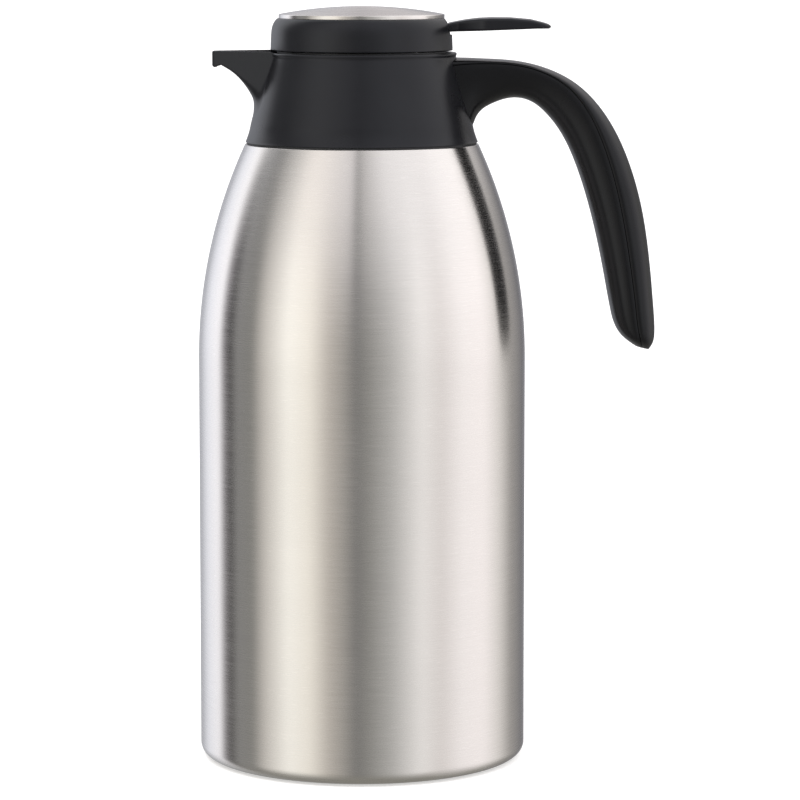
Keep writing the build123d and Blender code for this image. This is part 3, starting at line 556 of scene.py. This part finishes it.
def tinted(tree, factor, first, second):
    """Mix of two colours."""
    mix = node(tree, "ShaderNodeMix", data_type="RGBA")
    tree.links.new(factor, mix.inputs["Factor"])
    mix.inputs[6].default_value = (*first, 1)
    mix.inputs[7].default_value = (*second, 1)
    return mix.outputs[2]


def brushed_steel(name, is_disc, colour, roughness):
    """Steel brushed round the axis: streaks along the turn, finer marks and faint dashes across them."""
    material, tree, shader = new_material(name, Metallic=1.0, Anisotropic=0.88, Anisotropic_Rotation=0.25)
    place = node(tree, "ShaderNodeTexCoord").outputs["Object"]
    parts = node(tree, "ShaderNodeSeparateXYZ", {0: place}).outputs
    flat = node(tree, "ShaderNodeCombineXYZ", {0: parts[0], 1: parts[1]}).outputs[0]
    span = node(tree, "ShaderNodeVectorMath", {0: flat}, operation="LENGTH").outputs["Value"]
    across = span if is_disc else parts[2]
    vector = node(tree, "ShaderNodeCombineXYZ", {0: across, 1: parts[0], 2: parts[1]}).outputs[0]
    fine = noise(tree, vector, (3200, 60, 60), 4.0, 0.6)
    dashes = noise(tree, vector, (2600, 210, 210), 2.0)
    broad = noise(tree, vector, (45, 9, 9), 2.0)
    marks = spread(tree, dashes, 0.60, 0.80, 0.0, 1.0)
    tone = spread(tree, fine, 0.32, 0.68, 0.0, 1.0)
    bright = tuple(min(1, c * 1.035) for c in colour)
    dark = tuple(c * 0.965 for c in colour)
    base = tinted(tree, tone, dark, bright)
    light = node(tree, "ShaderNodeMix", {"Factor": marks}, data_type="RGBA")
    tree.links.new(base, light.inputs[6])
    light.inputs[7].default_value = (*(min(1, c * 1.09) for c in colour), 1)
    tree.links.new(light.outputs[2], shader.inputs["Base Color"])
    rough = spread(tree, fine, 0.3, 0.7, roughness - 0.035, roughness + 0.035)
    drift = spread(tree, broad, 0.3, 0.7, -0.015, 0.015)
    total = node(tree, "ShaderNodeMath", {0: rough, 1: drift}, operation="ADD").outputs[0]
    tree.links.new(total, shader.inputs["Roughness"])
    tangent = node(tree, "ShaderNodeTangent", direction_type="RADIAL", axis="Z").outputs[0]
    tree.links.new(tangent, shader.inputs["Tangent"])
    bump = node(tree, "ShaderNodeBump", {"Height": fine, "Strength": 0.03, "Distance": 0.00005}).outputs[0]
    tree.links.new(bump, shader.inputs["Normal"])
    return material


def moulded_plastic(name, colour, roughness, grain=1.0, gloss=0.5):
    """Moulded plastic: a fine spark-eroded grain, with a slow drift in gloss and tone."""
    material, tree, shader = new_material(name, Specular_IOR_Level=gloss, Specular_Tint=(0.90, 0.93, 1.0, 1))
    place = node(tree, "ShaderNodeTexCoord").outputs["Object"]
    pits = noise(tree, place, (2400, 2400, 2400), 2.0)
    slow = noise(tree, place, (34, 34, 34), 3.0)
    dark, light = tuple(c * 0.88 for c in colour), tuple(c * 1.12 for c in colour)
    tone = tinted(tree, spread(tree, slow, 0.3, 0.7, 0, 1), dark, light)
    tree.links.new(tone, shader.inputs["Base Color"])
    rough = spread(tree, slow, 0.3, 0.7, roughness - 0.03, roughness + 0.03)
    tree.links.new(rough, shader.inputs["Roughness"])
    bump = node(tree, "ShaderNodeBump", {"Height": pits, "Strength": 0.15 * grain, "Distance": 0.00012}).outputs[0]
    tree.links.new(bump, shader.inputs["Normal"])
    return material


def plain_metal(name, colour, roughness):
    """Drawn or turned metal with light mottling."""
    material, tree, shader = new_material(name, Metallic=1.0)
    place = node(tree, "ShaderNodeTexCoord").outputs["Object"]
    mottle = noise(tree, place, (260, 260, 260), 4.0)
    lines = noise(tree, place, (60, 60, 2200), 3.0)
    tone = tinted(tree, spread(tree, mottle, 0.3, 0.7, 0, 1), tuple(c * 0.9 for c in colour), colour)
    tree.links.new(tone, shader.inputs["Base Color"])
    tree.links.new(spread(tree, lines, 0.3, 0.7, roughness - 0.05, roughness + 0.07), shader.inputs["Roughness"])
    return material


STEEL = (0.62, 0.60, 0.585)
CHARCOAL = (0.0075, 0.0077, 0.0092)
BLACK = (0.0045, 0.0045, 0.0050)


def all_materials():
    """Every material by slot name."""
    return {
        "brushed_steel": brushed_steel("brushed_steel", False, STEEL, 0.26),
        "disc_steel": brushed_steel("disc_steel", True, STEEL, 0.27),
        "inner_steel": plain_metal("inner_steel", (0.60, 0.58, 0.56), 0.24),
        "foil": plain_metal("foil", (0.80, 0.62, 0.50), 0.18),
        "getter_metal": plain_metal("getter_metal", (0.30, 0.29, 0.28), 0.5),
        "seal_metal": plain_metal("seal_metal", (0.42, 0.40, 0.38), 0.4),
        "screw_steel": plain_metal("screw_steel", (0.55, 0.55, 0.56), 0.28),
        "collar_plastic": moulded_plastic("collar_plastic", CHARCOAL, 0.29, 1.0, 0.25),
        "lid_plastic": moulded_plastic("lid_plastic", CHARCOAL, 0.30, 1.0, 0.25),
        "handle_plastic": moulded_plastic("handle_plastic", BLACK, 0.27, 0.8, 0.24),
        "inner_plastic": moulded_plastic("inner_plastic", (0.030, 0.030, 0.032), 0.40),
        "silicone": moulded_plastic("silicone", (0.42, 0.41, 0.40), 0.55, 0.5),
        "foot_rubber": moulded_plastic("foot_rubber", (0.018, 0.018, 0.018), 0.65),
    }


def dress_frame(materials):
    """Gives each CAD node that shows the material of its slot."""
    for part in frame["record"]["subparts"]:
        found = materials[part["material_slot"]]
        shown = frame["nodes"][part["node"]]
        shown.data.materials.clear()
        shown.data.materials.append(found)


# ---- studio
# (direction in degrees round the object, from the front to the right, brightness of red, green and blue)
LEVEL_BANDS = (
    (-180, (0.30, 0.30, 0.32)), (-157, (0.32, 0.33, 0.36)), (-139, (0.72, 0.74, 0.80)),
    (-121, (0.92, 0.92, 0.96)), (-113, (0.12, 0.11, 0.12)), (-106, (0.01, 0.01, 0.01)),
    (-98, (0.21, 0.21, 0.21)), (-83, (0.18, 0.18, 0.17)), (-73, (0.53, 0.51, 0.48)),
    (-53, (1.00, 0.99, 0.93)), (-37, (0.89, 0.86, 0.78)), (-23, (0.46, 0.43, 0.39)),
    (-12, (0.28, 0.27, 0.25)), (-4, (0.13, 0.13, 0.13)), (5, (0.20, 0.20, 0.19)),
    (21, (0.40, 0.40, 0.39)), (43, (0.84, 0.83, 0.82)), (58, (0.71, 0.68, 0.67)),
    (76, (0.92, 0.89, 0.89)), (96, (0.95, 0.91, 0.91)), (113, (0.68, 0.66, 0.64)),
    (130, (0.29, 0.28, 0.27)), (157, (0.11, 0.11, 0.12)), (180, (0.30, 0.30, 0.32)),
)
UPPER_BANDS = (
    (-180, (0.42, 0.40, 0.41)), (-140, (0.75, 0.77, 0.82)), (-122, (1.00, 1.00, 1.00)),
    (-108, (0.28, 0.28, 0.29)), (-92, (0.18, 0.18, 0.18)), (-72, (0.49, 0.48, 0.47)),
    (-52, (0.84, 0.80, 0.77)), (-20, (0.70, 0.68, 0.68)), (-9, (0.66, 0.64, 0.65)),
    (-4, (0.20, 0.20, 0.20)), (2, (0.48, 0.47, 0.47)), (25, (0.76, 0.75, 0.76)),
    (60, (0.80, 0.79, 0.80)), (110, (1.00, 0.98, 0.98)), (140, (0.75, 0.73, 0.73)),
    (180, (0.42, 0.40, 0.41)),
)
STUDIO_STRENGTH = 1.74
# rise of the looking direction over which the level bands give way to the upper ones, and to the dim floor below
UPPER_BLEND = (0.12, 0.52)
UNDER_BLEND = (-0.09, -0.90)
UNDER_COLOUR = (0.20, 0.195, 0.175, 1)
FLOOR_SIDE = 30.0
FLOOR_GLOW = 0.42
CAMERA_PLACE = (0.0154, -1.5, 0.335)
CAMERA_PITCH = 6.47
CAMERA_LENS = 167.67
CAMERA_SHIFT = -0.06


def band_ramp(tree, share, bands):
    """Colour ramp round the object, from behind it on the left to behind it on the right."""
    ramp = node(tree, "ShaderNodeValToRGB", {0: share})
    stops = ramp.color_ramp.elements
    stops[0].position, stops[1].position = 0, 1
    for degrees, _ in bands[1:-1]:
        stops.new((degrees + 180) / 360)
    for stop, (_, colour) in zip(stops, bands):
        stop.color = (*colour, 1)
    return ramp


def studio_world():
    """White backdrop for the camera, and upright soft bands of light and shade for everything else."""
    world = bpy.data.worlds.new("studio")
    bpy.context.scene.world = world
    world.use_nodes = True
    tree = world.node_tree
    tree.nodes.clear()
    way = node(tree, "ShaderNodeTexCoord").outputs["Generated"]
    parts = node(tree, "ShaderNodeSeparateXYZ", {0: way}).outputs
    front = node(tree, "ShaderNodeMath", {0: parts[1], 1: -1.0}, operation="MULTIPLY").outputs[0]
    turn = node(tree, "ShaderNodeMath", {0: parts[0], 1: front}, operation="ARCTAN2").outputs[0]
    share = spread(tree, turn, -math.pi, math.pi, 0, 1)
    level, upper = band_ramp(tree, share, LEVEL_BANDS), band_ramp(tree, share, UPPER_BANDS)
    above = spread(tree, parts[2], *UPPER_BLEND, 0.0, 1.0)
    high = node(tree, "ShaderNodeMix", {"Factor": above}, data_type="RGBA")
    tree.links.new(level.outputs[0], high.inputs[6])
    tree.links.new(upper.outputs[0], high.inputs[7])
    under = spread(tree, parts[2], *UNDER_BLEND, 0.0, 1.0)
    low = node(tree, "ShaderNodeMix", {"Factor": under}, data_type="RGBA")
    tree.links.new(high.outputs[2], low.inputs[6])
    low.inputs[7].default_value = UNDER_COLOUR
    light = node(tree, "ShaderNodeBackground", {"Color": low.outputs[2], "Strength": STUDIO_STRENGTH})
    backdrop = node(tree, "ShaderNodeBackground", {"Color": (1, 1, 1, 1), "Strength": 1.0})
    seen = node(tree, "ShaderNodeLightPath").outputs["Is Camera Ray"]
    mixed = node(tree, "ShaderNodeMixShader", {0: seen, 1: light.outputs[0], 2: backdrop.outputs[0]})
    node(tree, "ShaderNodeOutputWorld", {"Surface": mixed.outputs[0]})


def floor():
    """Large pale floor, which the steel doesn't mirror."""
    side = FLOOR_SIDE
    mesh = bpy.data.meshes.new("floor")
    mesh.from_pydata([(-side, -side, 0), (side, -side, 0), (side, side, 0), (-side, side, 0)], [], [(0, 1, 2, 3)])
    piece = bpy.data.objects.new("floor", mesh)
    bpy.context.scene.collection.objects.link(piece)
    material, _, shader = new_material("floor", Base_Color=(0.82, 0.82, 0.82, 1), Roughness=0.9)
    shader.inputs["Emission Color"].default_value = (1, 1, 1, 1)
    shader.inputs["Emission Strength"].default_value = FLOOR_GLOW
    shader.inputs["Specular IOR Level"].default_value = 0.0
    mesh.materials.append(material)
    piece.visible_glossy = False


def soft_light(name, place, size, power):
    """Square soft box aimed at the middle of the carafe."""
    lamp = bpy.data.lights.new(name, "AREA")
    lamp.shape, lamp.size, lamp.energy = "SQUARE", size, power
    holder = bpy.data.objects.new(name, lamp)
    bpy.context.scene.collection.objects.link(holder)
    holder.location = place
    aim = Vector((0, 0, 0.2)) - Vector(place)
    holder.rotation_euler = aim.to_track_quat("-Z", "Y").to_euler()
    holder.visible_glossy = False


def camera():
    """Long lens a little above the lid, facing the carafe side-on."""
    data = bpy.data.cameras.new("camera")
    data.lens = CAMERA_LENS
    data.shift_y = CAMERA_SHIFT
    holder = bpy.data.objects.new("camera", data)
    bpy.context.scene.collection.objects.link(holder)
    holder.location = CAMERA_PLACE
    holder.rotation_euler = (math.radians(90 - CAMERA_PITCH), 0, 0)
    bpy.context.scene.camera = holder


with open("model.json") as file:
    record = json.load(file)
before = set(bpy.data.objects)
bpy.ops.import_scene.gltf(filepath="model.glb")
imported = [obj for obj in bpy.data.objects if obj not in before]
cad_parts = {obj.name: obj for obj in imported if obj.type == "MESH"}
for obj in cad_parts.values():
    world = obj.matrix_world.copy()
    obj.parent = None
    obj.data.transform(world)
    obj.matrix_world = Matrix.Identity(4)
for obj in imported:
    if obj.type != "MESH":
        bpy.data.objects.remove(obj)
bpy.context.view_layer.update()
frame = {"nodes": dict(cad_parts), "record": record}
materials = all_materials()
dress_frame(materials)
steel_body(materials["brushed_steel"])
collar(materials["collar_plastic"])
handle_piece("handle_body", False, materials["handle_plastic"], ("handle_body",))
handle_piece("handle_cover", True, materials["handle_plastic"], ("handle_cover",))
lid_cap(materials["lid_plastic"])
lid_disc(materials["disc_steel"])
lever(materials["lid_plastic"])
studio_world()
floor()
soft_light("top_light", (-0.5, -0.6, 1.6), 1.2, 14)
camera()
bpy.context.scene.view_settings.view_transform = "Standard"
